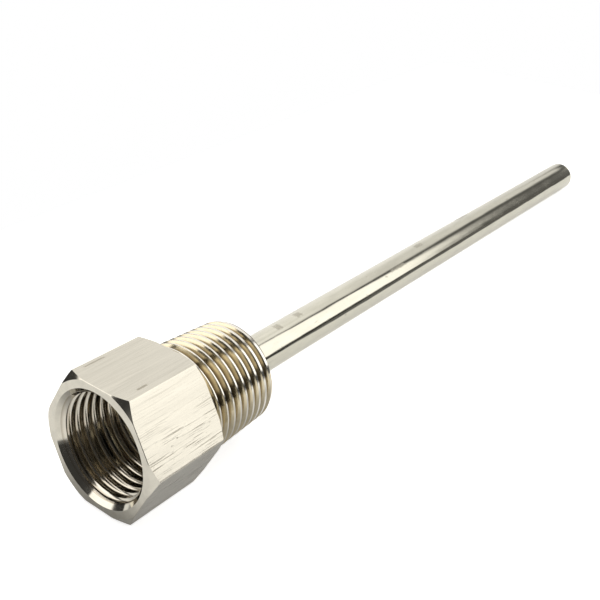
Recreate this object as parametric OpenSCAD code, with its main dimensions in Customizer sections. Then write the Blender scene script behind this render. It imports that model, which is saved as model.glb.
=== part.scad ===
// Thermowell: a hexagon fitting with a female socket at one end and a tapered male
// thread at the other, and a slim closed tube that carries the sensor into the process.
// The origin is on the axis, where the thread meets the hexagon's back face.
// +X runs along the axis to the closed tip, and +Z is up, square to a flat of the hexagon.

/* [Hexagon] */
// Width across the flats
hex_af = 24; // [23.5:0.5:32]
// Length of the hexagon along the axis
hex_len = 16.6; // [15.5:0.1:30]
// Width of the end faces inside the corner chamfers, beyond the width across the flats
hex_face_extra = 0.7; // [0:0.1:1]
// Angle of the corner chamfers, measured from the end faces
hex_chamfer_angle = 30; // [15:1:45]

/* [Instrument socket] */
// Diameter of the tapping bore that the female thread is cut in
socket_d = 19.1; // [12:0.1:20]
// Depth of the socket from the open face to its floor
socket_depth = 15; // [8:0.1:15.2]
// Diameter of the countersink at the open face
mouth_d = 21.7; // [19.5:0.1:22.4]
// Angle between the countersink's wall and the axis
mouth_angle = 45; // [30:1:60]
// Length of the thread relief next to the socket's floor
relief_len = 1.8; // [1:0.1:4]
// Depth of the thread relief below the tapping bore
relief_cut = 1.05; // [0.5:0.05:1.6]

/* [Process thread] */
// Crest diameter of the male thread at the hexagon
thread_major_d = 21.9; // [20.5:0.1:23]
// Length of the male thread beyond the hexagon
thread_len = 17.7; // [10:0.1:26]
// Advance of one turn, 14 turns to the inch
thread_pitch = 1.814; // [1.2:0.001:2.4]
// How far the crests close in on the axis for each millimetre of length
crest_taper = 0.05; // [0.04:0.005:0.06]
// How far the roots close in on the axis for each millimetre of length, 1 in 16 on the diameter
root_taper = 0.03125; // [0:0.00125:0.04]
// Distance from the hexagon to the middle of the first crest, on the +Y side
thread_start = 1.15; // [0.6:0.05:2]
// Angle between the lead-in chamfer and the axis
lead_angle = 45; // [30:1:60]

/* [Stem tube] */
// Outer diameter of the tube
tube_d = 8; // [6:0.5:12]
// Wall thickness of the tube
tube_wall = 1; // [0.5:0.1:2]
// Length of the tube beyond the small end of the thread
stem_len = 155.7; // [40:0.1:400]
// Thickness of the closed end
tip_wall = 3; // [1:0.1:8]
// Radius of the rounded edge of the closed end
tip_round = 2; // [0.5:0.1:2.8]
// How far the tube's open end stands out of the socket's floor
tube_stand = 1.5; // [1.5:0.1:5]

/* [Weld and fit] */
// Gap all round between the tube and the hole that it passes through
tube_clearance = 0.05; // [0.02:0.01:0.2]
// Size of the weld bead round the tube on the socket's floor
weld_leg = 1.3; // [0.6:0.1:1.5]

/* [Hidden] */
$fn = 72;

steel_brushed = [0.80, 0.78, 0.71];
steel_polished = [0.76, 0.75, 0.71];
steel_weld = [0.55, 0.53, 0.50];

// Places along the axis
open_x = -hex_len;
floor_x = open_x + socket_depth;
tube_mouth_x = floor_x - tube_stand;
tip_x = thread_len + stem_len;

hex_corner_d = hex_af / cos(30);
hex_face_d = hex_af + hex_face_extra;
tube_bore_d = tube_d - 2 * tube_wall;
cut_over = 1;

// Thread form: flanks at 30 degrees to a plane across the axis, cut short of sharp
flank_angle = 30;
thread_depth = 0.76 * thread_pitch;
root_half = 0.03 * thread_pitch;
root_below_end = 0.1;
thread_bury = 0.6;
columns = 36;
corners = 4;

module along_x(from = 0) {
    translate([from, 0, 0]) rotate([0, 90, 0]) children();
}

// ---- Male thread ----
// The surface is a grid. Its rows follow the four corners of the thread form round the
// axis, turn after turn, and its columns lie at equal angles, from +Y towards +Z.

// Radius of the crests and of the roots at a place along the axis
function crest_r(x) = thread_major_d / 2 - crest_taper * x;
function root_r(x) = thread_major_d / 2 - thread_depth - root_taper * x;

// Radius of the small end face, and of the turned blank that the thread is cut in
end_r = root_r(thread_len) - root_below_end;
function blank_r(x) = min(crest_r(x), end_r + (thread_len - x) * tan(lead_angle));

// Half the width of the crest, which grows where the blank stands less above the roots
function crest_half(x) =
    thread_pitch / 2 - root_half - max(0, blank_r(x) - root_r(x)) * tan(flank_angle);

// Turns that begin inside the hexagon, and all turns up to past the small end
turns_buried = ceil(1.5 + (root_half + thread_bury + thread_start) / thread_pitch);
turns = turns_buried + ceil((thread_len - thread_start) / thread_pitch + 0.5);
rows = corners * turns;

// Place along the axis of one corner of the thread form, before the ends are trimmed
function corner_x(row, column) =
    let (
        turn = floor(row / corners) - turns_buried + column / columns,
        middle = thread_start + thread_pitch * turn,
        corner = row % corners
    )
    corner == 0 ? middle - crest_half(middle)
    : corner == 1 ? middle + crest_half(middle)
    : corner == 2 ? middle + thread_pitch / 2 - root_half
    : middle + thread_pitch / 2 + root_half;

function trimmed_x(row, column) = max(-thread_bury, min(thread_len, corner_x(row, column)));

function corner_r(row, x) =
    x <= -thread_bury ? root_r(-thread_bury)
    : x >= thread_len ? end_r
    : row % corners < 2 ? blank_r(x)
    : min(root_r(x), blank_r(x));

function thread_point(row, column) =
    let (
        x = trimmed_x(row, column),
        r = corner_r(row, x),
        turned = 360 * column / columns
    )
    [x, r * cos(turned), r * sin(turned)];

// Number of a point. After the last column, a row goes on as the row one turn further.
function at(row, column) =
    column < columns ? row * columns + column : min(row + corners, rows) * columns;

// A patch between two rows is left out where both rows are trimmed to the same end
function open_patch(row, column) =
    max(trimmed_x(row + 1, column), trimmed_x(row + 1, column + 1)) > -thread_bury
    && min(trimmed_x(row, column), trimmed_x(row, column + 1)) < thread_len;

module tapered_thread() {
    points = [
        for (row = [0 : rows])
            for (column = [0 : columns - 1])
                thread_point(row, column)
    ];
    patches = [
        for (row = [0 : rows - 1])
            for (column = [0 : columns - 1])
                if (open_patch(row, column))
                    for (upper = [false, true])
                        upper
                            ? [at(row, column), at(row + 1, column), at(row + 1, column + 1)]
                            : [at(row, column), at(row + 1, column + 1), at(row, column + 1)]
    ];
    big_end = [for (column = [0 : columns - 1]) at(0, column)];
    small_end = [for (column = [columns - 1 : -1 : 0]) at(rows, column)];
    polyhedron(points = points, faces = concat(patches, [big_end, small_end]));
}

// ---- Fitting ----

// Hexagon bar with its corners turned off at both ends
module chamfered_hexagon() {
    run = (hex_corner_d - hex_face_d) / 2 + cut_over;
    rise = run * tan(hex_chamfer_angle);
    intersection() {
        along_x(open_x) rotate(30) cylinder(d = hex_corner_d, h = hex_len, $fn = 6);
        along_x(open_x) rotate_extrude() polygon([
            [0, 0],
            [hex_face_d / 2, 0],
            [hex_face_d / 2 + run, rise],
            [hex_face_d / 2 + run, hex_len - rise],
            [hex_face_d / 2, hex_len],
            [0, hex_len]
        ]);
    }
}

// Countersunk tapping bore with a relief groove at its floor
module socket_cut() {
    mouth_depth = (mouth_d - socket_d) / 2 / tan(mouth_angle);
    relief_r = socket_d / 2 + relief_cut;
    along_x(open_x) rotate_extrude() polygon([
        [0, -cut_over],
        [mouth_d / 2 + cut_over * tan(mouth_angle), -cut_over],
        [socket_d / 2, mouth_depth],
        [socket_d / 2, socket_depth - relief_len],
        [relief_r, socket_depth - relief_len],
        [relief_r, socket_depth],
        [0, socket_depth]
    ]);
}

module hex_fitting() {
    color(steel_brushed) difference() {
        union() {
            chamfered_hexagon();
            tapered_thread();
        }
        socket_cut();
        along_x(floor_x - cut_over)
            cylinder(d = tube_d + 2 * tube_clearance, h = thread_len - floor_x + 2 * cut_over);
    }
}

// ---- Tube ----

// Half section of the tube's outside, from the axis outwards, with y along the axis
module tube_outline(length) {
    intersection() {
        square([tube_d / 2, length]);
        union() {
            square([tube_d / 2, length - tip_round]);
            square([tube_d / 2 - tip_round, length]);
            translate([tube_d / 2 - tip_round, length - tip_round]) circle(r = tip_round);
        }
    }
}

module stem_tube() {
    length = tip_x - tube_mouth_x;
    color(steel_polished) difference() {
        along_x(tube_mouth_x) rotate_extrude() tube_outline(length);
        along_x(tube_mouth_x - cut_over) cylinder(d = tube_bore_d, h = length - tip_wall + cut_over);
    }
}

// Bead with a quarter-round section that joins the tube to the floor of the socket
module seal_weld() {
    color(steel_weld) along_x(floor_x) rotate_extrude() intersection() {
        translate([tube_d / 2, 0]) circle(r = weld_leg);
        translate([tube_d / 2, -weld_leg]) square(weld_leg);
    }
}

hex_fitting();
stem_tube();
seal_weld();
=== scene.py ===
import math

import bmesh
import bpy
import numpy as np
from bpy.props import (
    FloatProperty,
    FloatVectorProperty,
    IntProperty,
    PointerProperty,
)
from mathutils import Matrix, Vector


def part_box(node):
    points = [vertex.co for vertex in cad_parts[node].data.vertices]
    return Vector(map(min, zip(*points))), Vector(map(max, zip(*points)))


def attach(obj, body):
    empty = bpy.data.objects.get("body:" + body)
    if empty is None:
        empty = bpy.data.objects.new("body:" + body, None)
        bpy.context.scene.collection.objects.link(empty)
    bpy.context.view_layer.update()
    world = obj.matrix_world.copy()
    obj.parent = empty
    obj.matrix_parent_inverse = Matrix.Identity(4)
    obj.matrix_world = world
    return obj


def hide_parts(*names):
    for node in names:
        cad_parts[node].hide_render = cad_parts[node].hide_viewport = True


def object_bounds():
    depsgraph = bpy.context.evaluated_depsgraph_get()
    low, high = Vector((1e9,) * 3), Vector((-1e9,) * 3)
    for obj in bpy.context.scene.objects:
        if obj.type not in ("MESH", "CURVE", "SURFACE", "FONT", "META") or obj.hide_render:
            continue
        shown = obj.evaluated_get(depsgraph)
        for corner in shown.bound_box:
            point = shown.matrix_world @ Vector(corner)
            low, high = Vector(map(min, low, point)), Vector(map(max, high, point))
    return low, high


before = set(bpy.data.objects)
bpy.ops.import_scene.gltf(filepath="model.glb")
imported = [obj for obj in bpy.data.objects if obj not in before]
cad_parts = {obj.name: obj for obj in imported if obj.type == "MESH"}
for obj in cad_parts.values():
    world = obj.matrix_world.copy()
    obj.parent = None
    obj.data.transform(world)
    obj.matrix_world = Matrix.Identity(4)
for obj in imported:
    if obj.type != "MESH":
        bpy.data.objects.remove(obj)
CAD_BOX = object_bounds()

bl_info = {
    "name": "Thermowell",
    "version": (1, 0, 0),
    "blender": (4, 5, 0),
    "location": "View3D > Sidebar > Thermowell",
    "description": "Builds a thermowell with cut pipe threads round its packed solids",
    "category": "Add Mesh",
}

MM = 0.001
FULL_TURN = 2 * math.pi
THIRTY = math.pi / 6

# Handling marks on top of the hexagon and of the tube, in mm: place along the axis,
# place across it, half length and half width
FLAT_NICKS = ((-11.6, 6.0, 2.6, 0.22), (-11.6, -5.5, 1.4, 0.3))
TUBE_RUBS = (
    (30.2, -0.2, 1.0, 1.1),
    (37.1, 0.0, 1.1, 1.0),
    (72.4, -2.2, 3.5, 0.5),
    (85.3, 0.1, 2.0, 0.8),
    (110.0, 1.8, 3.0, 1.2),
)

# Points on the rounded root of a thread form, and rows for each turn of it
ROOT_POINTS = 9
ROWS_PER_TURN = 4 + ROOT_POINTS
# How far the male thread goes on inside the hexagon
BURIED = 0.6 * MM
# Gap between the floor and the part, so that they never share a plane
FLOOR_GAP = 0.02 * MM

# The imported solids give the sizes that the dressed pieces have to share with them
FITTING_LOW, FITTING_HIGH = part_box("hex_fitting")
TUBE_LOW, TUBE_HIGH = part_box("stem_tube")
BEAD_LOW, BEAD_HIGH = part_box("seal_weld")


def length(name, description, default):
    return FloatProperty(
        name=name,
        description=description,
        default=round(default, 6),
        unit="LENGTH",
        precision=5,
    )


def angle(name, description, degrees):
    return FloatProperty(
        name=name,
        description=description,
        default=math.radians(degrees),
        subtype="ANGLE",
        unit="ROTATION",
    )


def colour(name, description, red, green, blue):
    return FloatVectorProperty(
        name=name,
        description=description,
        default=(red, green, blue),
        subtype="COLOR",
        min=0.0,
        max=1.0,
    )


def share(name, description, default, low=0.0, high=4.0):
    return FloatProperty(
        name=name,
        description=description,
        default=default,
        min=low,
        max=high,
        precision=5,
        subtype="FACTOR",
    )


def count(name, description, default, low):
    return IntProperty(name=name, description=description, default=default, min=low)


# ---------------------------------------------------------------- sizes


class FittingSizes(bpy.types.PropertyGroup):
    """Sizes of the hexagon fitting and its socket."""

    across_flats: length(
        "Across flats", "Width of the hexagon", FITTING_HIGH.z - FITTING_LOW.z
    )
    open_face: length("Open face", "Place of the open face along the axis", FITTING_LOW.x)
    face_diameter: length("Face diameter", "Width inside the corner chamfers", 24.7 * MM)
    chamfer_slope: angle("Chamfer slope", "Slope of the corner chamfers", 30)
    corner_round: length("Corner round", "Radius along the hexagon's edges", 0.3 * MM)
    edge_break: length("Edge break", "Width of the broken machined edges", 0.1 * MM)
    socket_floor: length("Socket floor", "Place of the socket's floor", BEAD_HIGH.x)
    mouth_diameter: length("Mouth", "Diameter of the countersink", 21.7 * MM)
    tapping_diameter: length("Tapping bore", "Crests of the female thread", 19.1 * MM)
    groove_diameter: length("Female roots", "Roots of the female thread", 20.3 * MM)
    relief_diameter: length("Relief", "Diameter of the thread relief", 21.2 * MM)
    relief_length: length("Relief length", "Length of the thread relief", 1.8 * MM)
    hole_diameter: length("Tube hole", "Hole that the tube passes through", 8.1 * MM)


class ThreadSizes(bpy.types.PropertyGroup):
    """Sizes of the tapered male thread and of both thread forms."""

    pitch: length("Pitch", "Advance of one turn", 1.814 * MM)
    major_diameter: length("Crest diameter", "At the hexagon", 21.9 * MM)
    run: length("Length", "Length beyond the hexagon", FITTING_HIGH.x)
    depth: length("Depth", "Depth of the thread at the hexagon", 1.2 * MM)
    first_crest: length("First crest", "Middle of the first crest", 1.15 * MM)
    root_round: length("Root radius", "Radius of the male thread's roots", 0.16 * MM)
    socket_round: length("Socket root radius", "Radius of the female roots", 0.55 * MM)
    socket_crest: length("First socket crest", "Distance from the open face", 0.886 * MM)
    crest_break: length("Crest break", "Rounding of the crest's edges", 0.03 * MM)
    crest_taper: share("Crest taper", "Fall of the crests per length", 0.05)
    root_taper: share("Root taper", "Fall of the roots per length", 0.03125)
    flank: angle("Flank angle", "Lean of the male thread's flanks", 30)
    socket_flank: angle("Socket flank angle", "Lean of the female thread's flanks", 27.5)
    lead_in: angle("Lead-in angle", "Chamfer at the small end", 45)
    columns: count("Columns", "Points round one turn", 288, 36)


class StemSizes(bpy.types.PropertyGroup):
    """Sizes of the tube and of its weld bead."""

    diameter: length("Diameter", "Outside of the tube", TUBE_HIGH.z - TUBE_LOW.z)
    bore: length("Bore", "Inside of the tube", 6 * MM)
    open_end: length("Open end", "Place of the open end", TUBE_LOW.x)
    tip: length("Tip", "Place of the closed tip", TUBE_HIGH.x)
    tip_wall: length("Tip wall", "Thickness of the closed end", 3 * MM)
    tip_round: length("Tip round", "Radius of the tip's edge", 2 * MM)
    bead: length("Bead", "Size of the weld bead", BEAD_HIGH.x - BEAD_LOW.x)
    ripples: count("Ripples", "Ripples round the bead", 34, 8)


class FinishColours(bpy.types.PropertyGroup):
    """Colours of the steel."""

    steel: colour("Steel", "Bare stainless steel", 0.62, 0.59, 0.51)
    steel_deep: colour("Scratched steel", "Scratches and stains", 0.40, 0.37, 0.30)
    thread: colour("Thread steel", "Cut threads, a little golden", 0.68, 0.60, 0.43)
    # Paler crest colour: a painted highlight along the thread crests
    crest: colour("Thread crests", "Rubbed bright crests", 0.78, 0.75, 0.68)
    # Brown for the thread roots: painted shade deep in the grooves
    root_shade: colour("Root_shade", "Brown film in the thread roots", 0.30, 0.24, 0.15)
    socket: colour("Socket steel", "Female thread and countersink", 0.66, 0.62, 0.54)
    polish: colour("Polished steel", "Polished tube", 0.62, 0.60, 0.51)
    smudge: colour("Smudges", "Handling marks on the tube", 0.42, 0.40, 0.33)
    weld: colour("Weld", "Weld metal", 0.36, 0.31, 0.25)
    weld_tint: colour("Weld tint", "Heat tint of the weld", 0.22, 0.14, 0.09)


class StageSettings(bpy.types.PropertyGroup):
    """Floor, light and camera."""

    floor_lean: angle("Floor lean", "Slope on which the part lies", 2.67)
    floor_length: length("Floor length", "Length of the pale sheet", 400 * MM)
    floor_width: length("Floor width", "Width of the pale sheet", 210 * MM)
    paper: colour("Floor", "Pale floor", 0.85, 0.85, 0.84)
    # Level of the painted shadow under the part, as the steel sees the floor
    floor_in_steel: share("Floor in steel", "Level of the floor under the part", 0.40)
    key_strength: share("Key", "Level of the large soft box on the -Y side", 1.72)
    fill_strength: share("Fill", "Level of the soft box beyond the socket", 1.8)
    wall_strength: share("Wall", "Level of the pale wall on the +Y side", 1.16)
    room_strength: share("Room", "Level of the dark room", 0.055)
    card_strength: share("Card", "Level of the low cards at both ends", 0.8)
    dim_strength: share("Dim strip", "Level of the dim strip past the key", 0.75)
    camera_place: FloatVectorProperty(
        name="Camera place",
        description="Where the camera stands",
        default=(-0.10329, -0.10270, 0.09728),
        subtype="TRANSLATION",
        unit="LENGTH",
    )
    camera_turn: FloatVectorProperty(
        name="Camera turn",
        description="How the camera is turned",
        default=(math.radians(69.832), math.radians(-3.011), math.radians(-52.359)),
        subtype="EULER",
        unit="ROTATION",
    )
    lens: FloatProperty(
        name="Lens",
        description="Focal length on a 36 mm sensor",
        default=56.874,
        unit="CAMERA",
    )
    rise: share("Rise", "Upward shift of the lens", -0.2, low=-1.0, high=1.0)


# ---------------------------------------------------------------- meshes


class Shell:
    """Points and faces of one closed piece, gathered loop by loop round the axis."""

    def __init__(self):
        self.points = []
        self.faces = []
        self.finishes = []

    def grid(self, x, r, turns):
        """Adds rows of points and gives their numbers as an array of the same shape."""
        x, r, turns = np.broadcast_arrays(x, r, turns)
        first = len(self.points)
        coords = np.stack([x, r * np.cos(turns), r * np.sin(turns)], axis=-1)
        self.points.extend(map(tuple, coords.reshape(-1, 3)))
        return first + np.arange(x.size).reshape(x.shape)

    def quad(self, corners, finish):
        self.faces.append(tuple(int(c) for c in corners))
        self.finishes.append(finish)

    def band(self, here, there, finish=0):
        """Joins two closed loops of as many points."""
        for a, b, c, d in zip(here, np.roll(here, -1), np.roll(there, -1), there):
            self.quad((a, b, c, d), finish)

    def loops(self, stations, turns, finishes):
        """Joins loops at a list of (x, r) stations, with a finish for each band."""
        rings = [self.grid(x + 0 * turns, r, turns) for x, r in stations]
        for here, there, finish in zip(rings, rings[1:], finishes):
            self.band(here, there, finish)

    def build(self, name, materials, crease=30.0):
        """Makes the object, with doubled points merged and faces turned outwards."""
        cells = bmesh.new()
        points = [cells.verts.new(p) for p in self.points]
        for face, finish in zip(self.faces, self.finishes):
            made = cells.faces.new([points[k] for k in face])
            made.material_index = finish
            made.smooth = True
        bmesh.ops.remove_doubles(cells, verts=cells.verts, dist=2e-7)
        bmesh.ops.dissolve_degenerate(cells, edges=cells.edges, dist=1e-8)
        loose = [v for v in cells.verts if not v.link_faces]
        bmesh.ops.delete(cells, geom=loose, context="VERTS")
        bmesh.ops.recalc_face_normals(cells, faces=cells.faces)
        mesh = bpy.data.meshes.new(name)
        cells.to_mesh(mesh)
        cells.free()
        mesh.set_sharp_from_angle(angle=math.radians(crease))
        for material in materials:
            mesh.materials.append(material)
        piece = bpy.data.objects.new(name, mesh)
        bpy.context.scene.collection.objects.link(piece)
        return piece


def form_rows(pitch, lean, root_round, crest_break, middle, depth):
    """One turn of a thread form, as (kind, place along the axis, lift) for each row."""
    tangent_x = root_round * math.cos(lean)
    tangent_r = root_round * (1 - math.sin(lean))
    reach = tangent_x + (depth - tangent_r) * math.tan(lean)
    half = np.maximum(0.01 * MM, pitch / 2 - np.maximum(reach, 0.0))
    eased = np.minimum(np.minimum(crest_break, 0.3 * depth), 0.5 * half)
    below = eased * math.tan(lean)
    rows = [
        ("flank", middle - half - below, eased),
        ("crest", middle - half + eased, eased),
        ("crest", middle + half - eased, eased),
        ("flank", middle + half + below, eased),
    ]
    for t in np.linspace(-1, 1, ROOT_POINTS) * (math.pi / 2 - lean):
        place = middle + pitch / 2 + root_round * math.sin(t)
        rows.append(("root", place, root_round * (1 - math.cos(t))))
    return rows


def thread_grid(form, turns, start, span, side, surface, bottom, ends):
    """Rows of a thread, as x and r arrays with one row for each corner of the form.

    form holds the pitch, the flank's lean, the root's radius and the crest's break.
    start is the middle of the first crest, and span the turns before and after it.
    side is 1 where the ridges point outwards and -1 where they point to the axis.
    surface and bottom give the radius of the blank and of the roots at a place.
    ends holds the (x, r) at which the rows stop at either end.
    """
    rows = []
    for turn in range(*span):
        middle = start + form[0] * (turn + turns / FULL_TURN)
        depth = np.maximum(0.0, side * (surface(middle) - bottom(middle)))
        rows += form_rows(*form, middle, depth)
    (low_x, low_r), (high_x, high_r) = ends
    grid_x, grid_r = [], []
    for kind, x, lift in rows:
        x = np.clip(x, low_x, high_x)
        r = surface(x)
        if kind == "flank":
            cut = np.maximum(0.0, side * (r - bottom(x)))
            r = r - side * np.minimum(lift, cut)
        if kind == "root":
            r = side * np.minimum(side * r, side * bottom(x) + lift)
        r = np.where(x <= low_x, low_r, np.where(x >= high_x, high_r, r))
        grid_x.append(x)
        grid_r.append(r)
    return np.array(grid_x), np.array(grid_r)


def join_helix(shell, grid_x, grid_r, turns, finish):
    """Joins the rows of a thread, each of which goes on as the row one turn further."""
    numbers = shell.grid(grid_x, grid_r, turns)
    low_x, high_x = grid_x.min(), grid_x.max()
    rows, columns = numbers.shape
    for row in range(rows - 1):
        for column in range(columns):
            after = (row, column + 1)
            above = (row + 1, column + 1)
            if column + 1 == columns:
                after = (min(row + ROWS_PER_TURN, rows - 1), 0)
                above = (min(row + 1 + ROWS_PER_TURN, rows - 1), 0)
            corners = ((row, column), (row + 1, column), above, after)
            places = [grid_x[c] for c in corners]
            if max(places) <= low_x or min(places) >= high_x:
                continue
            shell.quad([numbers[c] for c in corners], finish)


def corner_reach(sizes):
    """Distance of the corner rounding's centre, and half the angle that it takes."""
    centre = (sizes.across_flats / 2 - sizes.corner_round) / math.cos(THIRTY)
    along = centre + sizes.corner_round * math.cos(THIRTY)
    return centre, math.atan2(sizes.corner_round / 2, along)


def outline_turns(sizes, columns):
    """Angles round the axis, with more of them where the hexagon's corners are rounded."""
    _, reach = corner_reach(sizes)
    turns = list(np.arange(columns) * FULL_TURN / columns)
    for corner in np.arange(6) * FULL_TURN / 6:
        turns = [t for t in turns if abs((t - corner + math.pi) % FULL_TURN - math.pi) > reach]
        turns += [(corner + s * reach) % FULL_TURN for s in (-1, -0.6, -0.2, 0.2, 0.6, 1)]
    return np.array(sorted(turns))


def hexagon_radius(sizes, turns):
    """Distance from the axis to the outside of the hexagon with its rounded corners."""
    centre, reach = corner_reach(sizes)
    off = np.abs((turns + THIRTY) % (2 * THIRTY) - THIRTY)
    flat = sizes.across_flats / 2 / np.cos(THIRTY - off)
    inside = sizes.corner_round**2 - (centre * np.sin(off)) ** 2
    arc = centre * np.cos(off) + np.sqrt(np.maximum(0.0, inside))
    return np.where(off > reach, flat, arc)


# ---------------------------------------------------------------- materials


class Nodes:
    """A node tree that is written as plain sums."""

    def __init__(self, tree):
        self.tree = tree
        tree.nodes.clear()

    def add(self, kind, **settings):
        made = self.tree.nodes.new(kind)
        for key, value in settings.items():
            setattr(made, key, value)
        return made

    def put(self, socket, value):
        if isinstance(value, bpy.types.NodeSocket):
            self.tree.links.new(value, socket)
        elif value is not None:
            socket.default_value = value

    def math(self, operation, a, b=None, c=None):
        made = self.add("ShaderNodeMath", operation=operation)
        for socket, value in zip(made.inputs, (a, b, c)):
            self.put(socket, value)
        return made.outputs[0]

    def product(self, first, *others):
        for other in others:
            first = self.math("MULTIPLY", first, other)
        return first

    def away(self, value, middle):
        """How far a value lies from a middle, to either side."""
        return self.math("ABSOLUTE", self.math("SUBTRACT", value, middle))

    def ease(self, value, low, high, start=0.0, end=1.0):
        """Goes smoothly from start to end as the value goes from low to high."""
        made = self.add("ShaderNodeMapRange", interpolation_type="SMOOTHSTEP")
        for key, what in zip((0, 1, 2, 3, 4), (value, low, high, start, end)):
            self.put(made.inputs[key], what)
        return made.outputs[0]

    def split(self, vector):
        made = self.add("ShaderNodeSeparateXYZ")
        self.put(made.inputs[0], vector)
        return made.outputs

    def scaled(self, vector, x, y, z):
        made = self.add("ShaderNodeVectorMath", operation="MULTIPLY")
        self.put(made.inputs[0], vector)
        made.inputs[1].default_value = (x, y, z)
        return made.outputs[0]

    def tinted(self, tint, tone):
        """A colour that is made lighter or darker by a tone near 1."""
        made = self.add("ShaderNodeVectorMath", operation="SCALE")
        made.inputs[0].default_value = tint
        self.put(made.inputs["Scale"], tone)
        return made.outputs[0]

    def noise(self, vector, scale, detail=2.0, roughness=0.5):
        """Noise with its scale for each axis, or one scale for all three."""
        made = self.add("ShaderNodeTexNoise")
        scales = scale if isinstance(scale, tuple) else (scale, scale, scale)
        self.put(made.inputs["Vector"], self.scaled(vector, *scales))
        made.inputs["Scale"].default_value = 1.0
        made.inputs["Detail"].default_value = detail
        made.inputs["Roughness"].default_value = roughness
        return made.outputs["Fac"]

    def blend(self, factor, first, second):
        made = self.add("ShaderNodeMix", data_type="RGBA")
        self.put(made.inputs[0], factor)
        for socket, value in zip((made.inputs[6], made.inputs[7]), (first, second)):
            if not isinstance(value, bpy.types.NodeSocket):
                value = (*value, 1.0)
            self.put(socket, value)
        return made.outputs[2]


def object_mm(nodes):
    """Object coordinates in millimetres."""
    place = nodes.add("ShaderNodeTexCoord").outputs["Object"]
    return nodes.scaled(place, 1 / MM, 1 / MM, 1 / MM)


class Steel:
    """A material with bare metal's shader, and the nodes that lead to it."""

    def __init__(self, name):
        self.material = bpy.data.materials.new(name)
        self.material.use_nodes = True
        self.nodes = Nodes(self.material.node_tree)
        self.shader = self.nodes.add("ShaderNodeBsdfPrincipled")
        self.shader.inputs["Metallic"].default_value = 1.0
        out = self.nodes.add("ShaderNodeOutputMaterial")
        self.nodes.put(out.inputs["Surface"], self.shader.outputs[0])
        self.mm = object_mm(self.nodes)

    def finish(self, colour, roughness, normal):
        for name, value in zip(("Base Color", "Roughness", "Normal"), (colour, roughness, normal)):
            self.nodes.put(self.shader.inputs[name], value)
        return self.material


def bump(nodes, height, depth, base=None):
    """Turns a height from 0 to 1 into a bent normal, for grooves of the given depth."""
    made = nodes.add("ShaderNodeBump")
    made.inputs["Distance"].default_value = depth
    nodes.put(made.inputs["Height"], height)
    nodes.put(made.inputs["Normal"], base)
    return made.outputs[0]


def marks_at(nodes, mm, marks):
    """Small ragged marks on the upper side, as a mask."""
    x, y, z = nodes.split(mm)
    ragged = nodes.noise(mm, 2.2, detail=3.0, roughness=0.6)
    jitter = nodes.math("SUBTRACT", ragged, 0.5)
    total = 0.0
    for along, across, long_half, wide_half in marks:
        off_x = nodes.math("MULTIPLY_ADD", jitter, long_half, nodes.away(x, along))
        off_y = nodes.math("MULTIPLY_ADD", jitter, wide_half, nodes.away(y, across))
        mark = nodes.product(
            nodes.ease(off_x, long_half, long_half * 0.6),
            nodes.ease(off_y, wide_half, wide_half * 0.5),
        )
        total = nodes.math("MAXIMUM", total, mark)
    return nodes.product(total, nodes.ease(z, 0.0, 1.0))


def lathe_rings(nodes, mm, fineness):
    """Place along the axis, distance from it, and the fine rings that a tool leaves."""
    x, y, z = nodes.split(mm)
    squares = nodes.math("MULTIPLY_ADD", y, y, nodes.product(z, z))
    r = nodes.math("POWER", squares, 0.5)
    together = nodes.add("ShaderNodeCombineXYZ")
    nodes.put(together.inputs[0], r)
    nodes.put(together.inputs[1], x)
    return x, r, nodes.noise(together.outputs[0], fineness, detail=3.0, roughness=0.6)


def brushed_flats(colours):
    """Drawn bar, brushed along the axis, with scratches, a few dings and two nicks."""
    steel = Steel("brushed_flats")
    nodes, mm = steel.nodes, steel.mm
    fine = nodes.noise(mm, (0.08, 4.5, 4.5), detail=4.0, roughness=0.6)
    broad = nodes.noise(mm, (0.05, 0.8, 0.8), detail=3.0)
    scratches = nodes.noise(mm, (0.13, 6.0, 6.0), detail=2.0, roughness=0.45)
    patches = nodes.noise(mm, (0.12, 0.35, 0.35), detail=2.0)
    specks = nodes.noise(mm, (0.9, 2.4, 2.4), detail=4.0, roughness=0.7)
    _, y, z = nodes.split(mm)
    worn_side = nodes.product(nodes.ease(z, 9.0, 3.0), nodes.ease(y, -6.0, -8.0))
    wear = nodes.math("MULTIPLY_ADD", worn_side, 0.8, 0.2)
    amount = nodes.product(nodes.ease(patches, 0.3, 0.6), wear)
    scratch = nodes.product(nodes.ease(scratches, 0.56, 0.66), amount)
    ding = nodes.product(nodes.ease(specks, 0.64, 0.72), amount)
    marks = nodes.math("MAXIMUM", scratch, ding)
    marks = nodes.math("MAXIMUM", marks, marks_at(nodes, mm, FLAT_NICKS))
    brushing = nodes.math("MULTIPLY_ADD", fine, 0.6, nodes.math("MULTIPLY", broad, 0.4))
    clean = nodes.tinted(colours.steel, nodes.ease(brushing, 0.35, 0.65, 0.92, 1.05))
    colour = nodes.blend(marks, clean, colours.steel_deep)
    rough = nodes.ease(fine, 0.3, 0.7, 0.15, 0.24)
    rough = nodes.math("MULTIPLY_ADD", marks, 0.15, rough)
    grain = bump(nodes, fine, 0.006 * MM)
    cut = bump(nodes, nodes.math("SUBTRACT", 1.0, marks), 0.006 * MM, grain)
    return steel.finish(colour, rough, cut)


def turned_faces(colours):
    """Faces left by the lathe, with fine rings round the axis and small specks."""
    steel = Steel("turned_faces")
    nodes, mm = steel.nodes, steel.mm
    _, _, rings = lathe_rings(nodes, mm, 9.0)
    cloud = nodes.noise(mm, 0.5, detail=4.0, roughness=0.6)
    specks = nodes.ease(nodes.noise(mm, 2.6, detail=3.0, roughness=0.7), 0.68, 0.76)
    clean = nodes.tinted(colours.steel, nodes.ease(cloud, 0.3, 0.7, 0.93, 1.05))
    colour = nodes.blend(nodes.product(specks, 0.7), clean, colours.steel_deep)
    rough = nodes.ease(cloud, 0.3, 0.7, 0.07, 0.13)
    return steel.finish(colour, rough, bump(nodes, rings, 0.0006 * MM))


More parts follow.
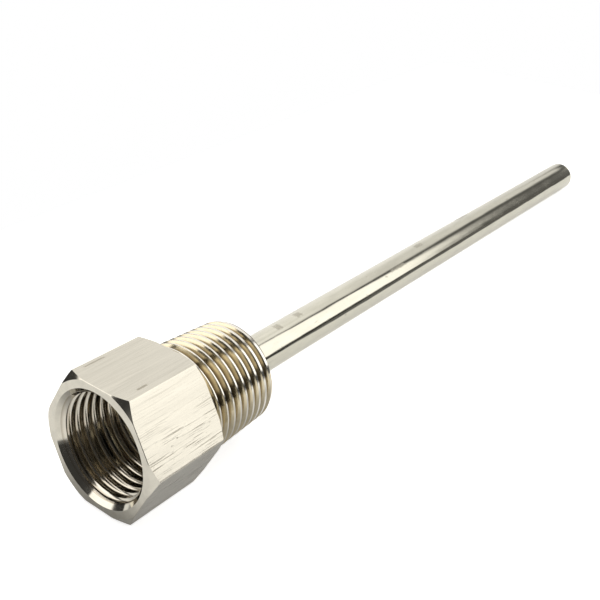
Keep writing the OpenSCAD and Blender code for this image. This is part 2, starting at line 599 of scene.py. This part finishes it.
def cut_thread(colours, sizes):
    """Bright male thread, with paler crests as a painted highlight and brown painted shade towards
    the roots.
    """
    steel = Steel("cut_thread")
    nodes, mm = steel.nodes, steel.mm
    x, r, rings = lathe_rings(nodes, mm, 7.0)
    crest = nodes.math("MULTIPLY_ADD", x, -sizes.crest_taper, sizes.major_diameter / 2 / MM)
    depth = nodes.math("SUBTRACT", crest, r)
    cloud = nodes.noise(mm, 0.9, detail=4.0, roughness=0.6)
    clean = nodes.tinted(colours.thread, nodes.ease(cloud, 0.3, 0.7, 0.92, 1.05))
    # Paler near the crests: a painted highlight
    crest_highlight = nodes.blend(nodes.ease(depth, 0.05, 0.0), clean, colours.crest)
    # Brown towards the roots: painted shade in the grooves
    colour = nodes.blend(nodes.ease(depth, 0.25, 1.05), crest_highlight, colours.root_shade)
    rough = nodes.ease(cloud, 0.3, 0.7, 0.12, 0.17)
    return steel.finish(colour, rough, bump(nodes, rings, 0.0003 * MM))


def socket_thread(colours, sizes):
    """Smooth female thread, browner towards the roots as painted shade."""
    steel = Steel("socket_thread")
    nodes, mm = steel.nodes, steel.mm
    _, r, rings = lathe_rings(nodes, mm, 7.0)
    depth = nodes.math("SUBTRACT", r, sizes.tapping_diameter / 2 / MM)
    cloud = nodes.noise(mm, 0.3)
    clean = nodes.tinted(colours.socket, nodes.ease(cloud, 0.3, 0.7, 0.95, 1.05))
    # Browner with depth: painted shade in the socket's grooves
    deep = nodes.ease(depth, 0.2, 0.6, 0.0, 0.5)
    colour = nodes.blend(deep, clean, colours.root_shade)
    rough = nodes.ease(cloud, 0.3, 0.7, 0.10, 0.15)
    return steel.finish(colour, rough, bump(nodes, rings, 0.00002 * MM))


def polished_tube(colours):
    """Polished tube with faint lengthwise lines, smudges and a few rub marks."""
    steel = Steel("polished_tube")
    nodes, mm = steel.nodes, steel.mm
    lines = nodes.noise(mm, (0.05, 5.0, 5.0), detail=3.0, roughness=0.6)
    wave = nodes.noise(mm, (0.06, 0.5, 0.5), detail=2.0)
    cloud = nodes.noise(mm, (0.16, 0.5, 0.5), detail=3.0, roughness=0.6)
    spots = nodes.noise(mm, (0.35, 1.0, 1.0), detail=4.0, roughness=0.65)
    smudges = nodes.product(nodes.ease(spots, 0.62, 0.72), nodes.ease(cloud, 0.45, 0.6))
    rubs = nodes.product(marks_at(nodes, mm, TUBE_RUBS), nodes.ease(spots, 0.3, 0.5, 0.6, 1.0))
    marks = nodes.math("MAXIMUM", smudges, rubs)
    clean = nodes.tinted(colours.polish, nodes.ease(cloud, 0.3, 0.7, 0.95, 1.03))
    colour = nodes.blend(nodes.product(marks, 0.85), clean, colours.smudge)
    rough = nodes.ease(cloud, 0.3, 0.7, 0.07, 0.12)
    rough = nodes.math("MULTIPLY_ADD", marks, 0.18, rough)
    bowed = bump(nodes, wave, 0.05 * MM)
    return steel.finish(colour, rough, bump(nodes, lines, 0.0008 * MM, bowed))


def weld_metal(colours):
    """Dull weld metal with heat tint."""
    steel = Steel("weld_metal")
    nodes, mm = steel.nodes, steel.mm
    cloud = nodes.noise(mm, 1.4, detail=4.0, roughness=0.6)
    grain = nodes.noise(mm, 9.0, detail=3.0)
    colour = nodes.blend(nodes.ease(cloud, 0.35, 0.65), colours.weld, colours.weld_tint)
    rough = nodes.ease(grain, 0.3, 0.7, 0.35, 0.55)
    return steel.finish(colour, rough, bump(nodes, grain, 0.01 * MM))


# ---------------------------------------------------------------- pieces


def finish_piece(piece, node):
    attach(piece, "root")
    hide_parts(node)


def add_socket_thread(shell, sizes, thread, turns, ends, finish):
    """Adds the female thread, from the countersink to the relief at the socket's floor."""
    mouth = sizes.mouth_diameter / 2
    crests = sizes.tapping_diameter / 2
    roots = sizes.groove_diameter / 2
    length_along = ends[1][0] - sizes.open_face
    grid_x, grid_r = thread_grid(
        form=(thread.pitch, thread.socket_flank, thread.socket_round, thread.crest_break),
        turns=turns,
        start=sizes.open_face + thread.socket_crest,
        span=(-3, math.ceil(length_along / thread.pitch) + 1),
        side=-1,
        surface=lambda x: np.maximum(crests, mouth - (x - sizes.open_face)),
        bottom=lambda x: roots + 0 * x,
        ends=ends,
    )
    join_helix(shell, grid_x, grid_r, turns, finish)


def hexagon_stations(sizes, turns, ends):
    """Loops from the countersink's small end over the outside to the relief, as (x, r)."""
    outside = hexagon_radius(sizes, turns)
    rim = np.minimum(sizes.face_diameter / 2, outside - sizes.edge_break)
    fall = (outside - rim) * math.tan(sizes.chamfer_slope)
    hole = sizes.hole_diameter / 2
    relief = sizes.relief_diameter / 2
    return (
        ends[0],
        (sizes.open_face, sizes.mouth_diameter / 2),
        (sizes.open_face, rim),
        (sizes.open_face + fall, outside),
        (-fall, outside),
        (0.0, rim),
        (0.0, hole),
        (sizes.socket_floor, hole),
        (sizes.socket_floor, relief),
        ends[1],
    )


class THERMOWELL_OT_hexagon(bpy.types.Operator):
    """Builds the hexagon with its chamfers, countersink and female thread"""

    bl_idname = "thermowell.hexagon"
    bl_label = "Hexagon and socket"

    def execute(self, context):
        scene = context.scene
        sizes, colours = scene.fitting_sizes, scene.finish_colours
        flats, turned, threaded = 0, 1, 2
        turns = outline_turns(sizes, scene.thread_sizes.columns)
        countersink = (sizes.mouth_diameter - sizes.groove_diameter) / 2
        ends = (
            (sizes.open_face + countersink, sizes.groove_diameter / 2),
            (sizes.socket_floor - sizes.relief_length, sizes.relief_diameter / 2),
        )
        shell = Shell()
        add_socket_thread(shell, sizes, scene.thread_sizes, turns, ends, threaded)
        finishes = [turned] * 3 + [flats] + [turned] * 4 + [threaded]
        shell.loops(hexagon_stations(sizes, turns, ends), turns, finishes)
        materials = [
            brushed_flats(colours),
            turned_faces(colours),
            socket_thread(colours, sizes),
        ]
        piece = shell.build("hexagon", materials, crease=20.0)
        finish_piece(piece, "hex_fitting")
        return {"FINISHED"}


class THERMOWELL_OT_male_thread(bpy.types.Operator):
    """Builds the tapered male thread with its lead-in chamfer"""

    bl_idname = "thermowell.male_thread"
    bl_label = "Male thread"

    def execute(self, context):
        scene = context.scene
        sizes, colours = scene.thread_sizes, scene.finish_colours
        threaded, turned = 0, 1
        turns = np.arange(sizes.columns) * FULL_TURN / sizes.columns
        crest = sizes.major_diameter / 2
        hole = scene.fitting_sizes.hole_diameter / 2

        def roots(x):
            return crest - sizes.depth - sizes.root_taper * x

        end = roots(sizes.run) - 0.1 * MM

        def blank(x):
            lead = end + (sizes.run - x) * math.tan(sizes.lead_in)
            return np.minimum(crest - sizes.crest_taper * x, lead)

        ends = ((-BURIED, roots(-BURIED)), (sizes.run, end))
        shell = Shell()
        grid_x, grid_r = thread_grid(
            form=(sizes.pitch, sizes.flank, sizes.root_round, sizes.crest_break),
            turns=turns,
            start=sizes.first_crest,
            span=(-3, math.ceil(sizes.run / sizes.pitch) + 1),
            side=1,
            surface=blank,
            bottom=roots,
            ends=ends,
        )
        join_helix(shell, grid_x, grid_r, turns, threaded)
        stations = (ends[1], (sizes.run, hole), (-BURIED, hole), ends[0])
        shell.loops(stations, turns, [turned] * 3)
        materials = [cut_thread(colours, sizes), turned_faces(colours)]
        piece = shell.build("male_thread", materials, crease=20.0)
        finish_piece(piece, "hex_fitting")
        return {"FINISHED"}


def tube_stations(sizes):
    """Loops of the tube, from the inside of its closed end out to the tip, as (x, r)."""
    outer, inner = sizes.diameter / 2, sizes.bore / 2
    broken = 0.15 * MM
    closed = sizes.tip - sizes.tip_wall
    shoulder = sizes.tip - sizes.tip_round
    stations = [
        (closed, 0.0),
        (closed, inner),
        (sizes.open_end, inner),
        (sizes.open_end, outer - broken),
        (sizes.open_end + broken, outer),
    ]
    stations += [(x, outer) for x in np.linspace(0.0, shoulder, 30)]
    for step in np.linspace(0, math.pi / 2, 13)[1:]:
        x = shoulder + sizes.tip_round * math.sin(step)
        stations.append((x, outer - sizes.tip_round * (1 - math.cos(step))))
    return stations + [(sizes.tip, 0.0)]


class THERMOWELL_OT_stem_tube(bpy.types.Operator):
    """Builds the polished tube with its closed, rounded tip"""

    bl_idname = "thermowell.stem_tube"
    bl_label = "Stem tube"

    def execute(self, context):
        scene = context.scene
        turns = np.arange(144) * FULL_TURN / 144
        stations = tube_stations(scene.stem_sizes)
        shell = Shell()
        shell.loops(stations, turns, [0] * len(stations))
        piece = shell.build("stem_tube_skin", [polished_tube(scene.finish_colours)])
        finish_piece(piece, "stem_tube")
        return {"FINISHED"}


def bead_stations(sizes, floor, turns):
    """Loops of the rippled bead, out along the floor, over its crown and down the tube."""
    inner = sizes.diameter / 2
    rng = np.random.default_rng(7)
    wander = sum(
        rng.uniform(0.01, 0.03) * np.cos(k * turns + rng.uniform(0, FULL_TURN))
        for k in (2, 3, 5, 7)
    )
    corner = (floor, inner)
    stations = [corner]
    for step in np.linspace(0, math.pi / 2, 13):
        skewed = sizes.ripples * (turns + 0.05 * math.sin(step))
        swell = 0.93 + wander - 0.045 * (1 + np.cos(skewed)) * math.sin(2 * step)
        reach = sizes.bead * np.minimum(swell, 1.0)
        stations.append((floor - reach * math.sin(step), inner + reach * math.cos(step)))
    return stations + [corner]


class THERMOWELL_OT_seal_bead(bpy.types.Operator):
    """Builds the rippled weld bead round the tube on the socket's floor"""

    bl_idname = "thermowell.seal_bead"
    bl_label = "Weld bead"

    def execute(self, context):
        scene = context.scene
        turns = np.arange(288) * FULL_TURN / 288
        floor = scene.fitting_sizes.socket_floor
        stations = bead_stations(scene.stem_sizes, floor, turns)
        shell = Shell()
        shell.loops(stations, turns, [0] * len(stations))
        piece = shell.build("seal_bead", [weld_metal(scene.finish_colours)], crease=50.0)
        finish_piece(piece, "seal_weld")
        return {"FINISHED"}


# ---------------------------------------------------------------- stage


def floor_level(nodes, x, y, settings):
    """Level that the steel shows of the floor, in places given in mm from its middle.

    It is a painted shadow under the fitting and beside its thread, and it is also less beyond the
    socket and on one far side.
    """
    far_side = nodes.product(nodes.ease(x, -8.0, 7.0), nodes.ease(y, -28.0, -36.0))
    shade = nodes.math("MAXIMUM", nodes.ease(x, -138.0, -150.0), far_side)
    shade = nodes.math("MULTIPLY_ADD", shade, -0.85, 1.0)
    # The painted shadow under the fitting, as the distance past its edge in mm
    along = nodes.math("SUBTRACT", nodes.away(x, -79.0), 16.5)
    across = nodes.math("SUBTRACT", nodes.away(y, 0.0), 14.0)
    past = nodes.math("MAXIMUM", along, across)
    under = settings.floor_in_steel
    under = nodes.ease(x, -100.0, -88.0, under * 0.8, under * 1.5)
    patch = nodes.ease(past, -1.0, 9.0, under, 1.0)
    # Painted shadow beside the thread
    beside = nodes.product(
        nodes.ease(y, -12.0, -24.0),
        nodes.ease(x, -30.0, -48.0),
        nodes.ease(x, -78.0, -66.0),
    )
    return nodes.product(shade, patch, nodes.math("MULTIPLY_ADD", beside, -0.35, 1.0))


def floor_material(settings):
    """Pale paper that is near white to the eye and keeps the part's shadow."""
    material = bpy.data.materials.new("pale_floor")
    material.use_nodes = True
    nodes = Nodes(material.node_tree)
    way = nodes.add("ShaderNodeLightPath").outputs
    mirrored = nodes.math("MAXIMUM", way["Is Glossy Ray"], way["Is Transmission Ray"])
    x, y, _ = nodes.split(object_mm(nodes))
    # Rays that the steel mirrors see the paper at floor_level's painted shadow and shade, with a
    # weak glow that follows it
    level = floor_level(nodes, x, y, settings)
    tone = nodes.math("MULTIPLY_ADD", mirrored, nodes.math("SUBTRACT", level, 1.0), 1.0)
    paper = nodes.add("ShaderNodeBsdfDiffuse")
    nodes.put(paper.inputs["Color"], nodes.tinted(settings.paper, tone))
    glow = nodes.add("ShaderNodeEmission")
    lift = nodes.product(mirrored, level, 0.4)
    lift = nodes.math("MULTIPLY_ADD", way["Is Camera Ray"], 0.75, lift)
    nodes.put(glow.inputs["Strength"], lift)
    together = nodes.add("ShaderNodeAddShader")
    nodes.put(together.inputs[0], paper.outputs[0])
    nodes.put(together.inputs[1], glow.outputs[0])
    out = nodes.add("ShaderNodeOutputMaterial")
    nodes.put(out.inputs["Surface"], together.outputs[0])
    return material


class Studio:
    """The room round the part, as masks and levels over the directions it lies in.

    heading is the angle from +X towards +Y, and roll the angle from +Y towards +Z about
    the part's axis, both in radians.
    """

    def __init__(self, nodes, settings):
        self.nodes = nodes
        self.settings = settings
        self.towards = nodes.add("ShaderNodeTexCoord").outputs["Generated"]
        self.x, self.y, self.z = nodes.split(self.towards)
        self.heading = nodes.math("ARCTAN2", self.y, self.x)
        self.roll = nodes.math("ARCTAN2", self.z, self.y)

    def walls(self):
        """Level of the dark room with a pale wall on its +Y side."""
        nodes, ease, strength = self.nodes, self.nodes.ease, self.settings.wall_strength
        room = ease(self.x, 0.74, 0.84, self.settings.room_strength, 0.14)
        # The wall's end next to the key draws back low down, and a little high up near +X
        low_down = ease(self.z, 0.46, 0.36)
        high_end = nodes.product(ease(self.x, 0.78, 0.86), ease(self.z, 0.36, 0.46))
        edge = nodes.math("MULTIPLY_ADD", low_down, -0.45, self.heading)
        edge = nodes.math("MULTIPLY_ADD", high_end, -0.12, edge)
        wall = nodes.product(ease(edge, -0.22, -0.02), ease(self.heading, 1.6, 1.3))
        near = ease(self.x, 0.78, 0.68, strength * 0.8, strength * 1.1)
        level = ease(self.heading, 0.45, 0.72, near, strength)
        level = nodes.product(level, ease(self.heading, 0.95, 1.25, 1.0, 0.8))
        return nodes.math("MULTIPLY_ADD", wall, nodes.math("SUBTRACT", level, room), room)

    def dim_strip(self):
        """Dim strip past the key, towards the tip's end."""
        nodes, ease, strength = self.nodes, self.nodes.ease, self.settings.dim_strength
        mask = nodes.product(
            ease(nodes.away(self.roll, 2.35), 0.5, 0.15), ease(self.x, 0.76, 0.80)
        )
        return mask, ease(self.x, 0.81, 0.875, strength, strength * 0.24)

    def ceiling(self):
        """Pale ceiling, above the +Y side only."""
        ease = self.nodes.ease
        return self.nodes.product(ease(self.z, 0.6, 0.74), ease(self.y, 0.10, 0.24)), 1.0

    def cards(self):
        """Low cards beyond the tip and beyond the socket, the second one dimmer."""
        nodes, ease, strength = self.nodes, self.nodes.ease, self.settings.card_strength
        off_axis = nodes.math("ARCTAN2", self.y, nodes.math("ABSOLUTE", self.x))
        mask = nodes.product(
            ease(self.z, -0.06, 0.10),
            ease(self.z, 0.42, 0.25),
            ease(nodes.away(off_axis, -0.05), 0.24, 0.04),
        )
        return mask, ease(self.x, -0.1, 0.1, strength * 0.25, strength * 1.6)

    def key(self):
        """Large soft box on the -Y side, with one slanting edge."""
        nodes, ease = self.nodes, self.nodes.ease
        slant = nodes.add("ShaderNodeVectorMath", operation="DOT_PRODUCT")
        nodes.put(slant.inputs[0], self.towards)
        slant.inputs[1].default_value = (-0.509, -0.801, 0.316)
        inner = nodes.math("MULTIPLY_ADD", self.x, -0.3, self.y)
        mask = nodes.product(
            ease(slant.outputs["Value"], -0.03, 0.03),
            ease(self.z, 0.06, 0.13),
            ease(self.heading, -1.65, -1.5),
            ease(inner, -0.245, -0.345),
            ease(self.x, 0.845, 0.785),
        )
        return mask, self.settings.key_strength

    def fill(self):
        """Upright soft box beyond the socket, on the +Y side."""
        ease = self.nodes.ease
        mask = self.nodes.product(
            ease(self.heading, 1.99, 2.06),
            ease(self.heading, 2.76, 2.70),
            ease(self.z, 0.0, 0.06),
        )
        return mask, self.settings.fill_strength

    def key_gap(self):
        """Dark lower part of the key's -X end, which is pale higher up."""
        ease = self.nodes.ease
        mask = self.nodes.product(
            ease(self.heading, -1.06, -1.14), ease(self.heading, -1.65, -1.5)
        )
        return mask, ease(self.z, 0.26, 0.42, self.settings.room_strength, 1.0)

    def level(self):
        """The walls, with the boxes and cards laid over them one after another."""
        level = self.walls()
        boxes = (self.dim_strip, self.ceiling, self.cards, self.key, self.fill, self.key_gap)
        for box in boxes:
            mask, strength = box()
            change = self.nodes.math("SUBTRACT", strength, level)
            level = self.nodes.math("MULTIPLY_ADD", mask, change, level)
        return level


def studio_world(settings):
    """The studio's room, which is plain white where the camera looks straight at it."""
    world = bpy.data.worlds.new("studio")
    world.use_nodes = True
    nodes = Nodes(world.node_tree)
    room = nodes.add("ShaderNodeBackground")
    room.inputs["Color"].default_value = (1.0, 0.985, 0.96, 1.0)
    nodes.put(room.inputs["Strength"], Studio(nodes, settings).level())
    white = nodes.add("ShaderNodeBackground")
    white.inputs["Color"].default_value = (1.0, 1.0, 1.0, 1.0)
    mix = nodes.add("ShaderNodeMixShader")
    nodes.put(mix.inputs[0], nodes.add("ShaderNodeLightPath").outputs["Is Camera Ray"])
    nodes.put(mix.inputs[1], room.outputs[0])
    nodes.put(mix.inputs[2], white.outputs[0])
    out = nodes.add("ShaderNodeOutputWorld")
    nodes.put(out.inputs["Surface"], mix.outputs[0])
    return world


def lay_floor(settings):
    """Flat sheet under the part, leaning so that the part rests on it with its tip."""
    cells = bmesh.new()
    bmesh.ops.create_grid(cells, x_segments=1, y_segments=1, size=1.0)
    for corner in cells.verts:
        corner.co.x *= settings.floor_length / 2
        corner.co.y *= settings.floor_width / 2
    mesh = bpy.data.meshes.new("floor")
    cells.to_mesh(mesh)
    cells.free()
    mesh.materials.append(floor_material(settings))
    floor = bpy.data.objects.new("floor", mesh)
    bpy.context.scene.collection.objects.link(floor)
    low = CAD_BOX[0].z - FLOOR_GAP
    middle = (CAD_BOX[0].x + CAD_BOX[1].x) / 2
    floor.rotation_euler = (0.0, -settings.floor_lean, 0.0)
    floor.location = (middle, 0.0, low + middle * math.tan(settings.floor_lean))
    return floor


def place_camera(settings):
    data = bpy.data.cameras.new("camera")
    data.sensor_width = 36.0
    data.lens = settings.lens
    data.shift_y = settings.rise
    data.clip_start, data.clip_end = 0.01, 20.0
    camera = bpy.data.objects.new("camera", data)
    camera.location = settings.camera_place
    camera.rotation_euler = settings.camera_turn
    bpy.context.scene.collection.objects.link(camera)
    return camera


class THERMOWELL_OT_stage(bpy.types.Operator):
    """Sets the floor, the studio light and the camera"""

    bl_idname = "thermowell.stage"
    bl_label = "Stage"

    def execute(self, context):
        scene = context.scene
        settings = scene.stage_settings
        lay_floor(settings)
        scene.world = studio_world(settings)
        scene.camera = place_camera(settings)
        scene.view_settings.view_transform = "Standard"
        return {"FINISHED"}


class THERMOWELL_PT_sidebar(bpy.types.Panel):
    """Lists the pieces of the thermowell"""

    bl_idname = "THERMOWELL_PT_sidebar"
    bl_label = "Thermowell"
    bl_space_type = "VIEW_3D"
    bl_region_type = "UI"
    bl_category = "Thermowell"

    def draw(self, context):
        for step in STEPS:
            self.layout.operator(step.bl_idname)


STEPS = (
    THERMOWELL_OT_hexagon,
    THERMOWELL_OT_male_thread,
    THERMOWELL_OT_stem_tube,
    THERMOWELL_OT_seal_bead,
    THERMOWELL_OT_stage,
)
GROUPS = {
    "fitting_sizes": FittingSizes,
    "thread_sizes": ThreadSizes,
    "stem_sizes": StemSizes,
    "finish_colours": FinishColours,
    "stage_settings": StageSettings,
}


def register():
    for group in (*GROUPS.values(), *STEPS, THERMOWELL_PT_sidebar):
        bpy.utils.register_class(group)
    for name, group in GROUPS.items():
        setattr(bpy.types.Scene, name, PointerProperty(type=group))


def unregister():
    for name in GROUPS:
        delattr(bpy.types.Scene, name)
    for group in reversed((*GROUPS.values(), *STEPS, THERMOWELL_PT_sidebar)):
        bpy.utils.unregister_class(group)


def main():
    register()
    bpy.ops.thermowell.hexagon()
    bpy.ops.thermowell.male_thread()
    bpy.ops.thermowell.stem_tube()
    bpy.ops.thermowell.seal_bead()
    bpy.ops.thermowell.stage()


if __name__ == "__main__":
    main()
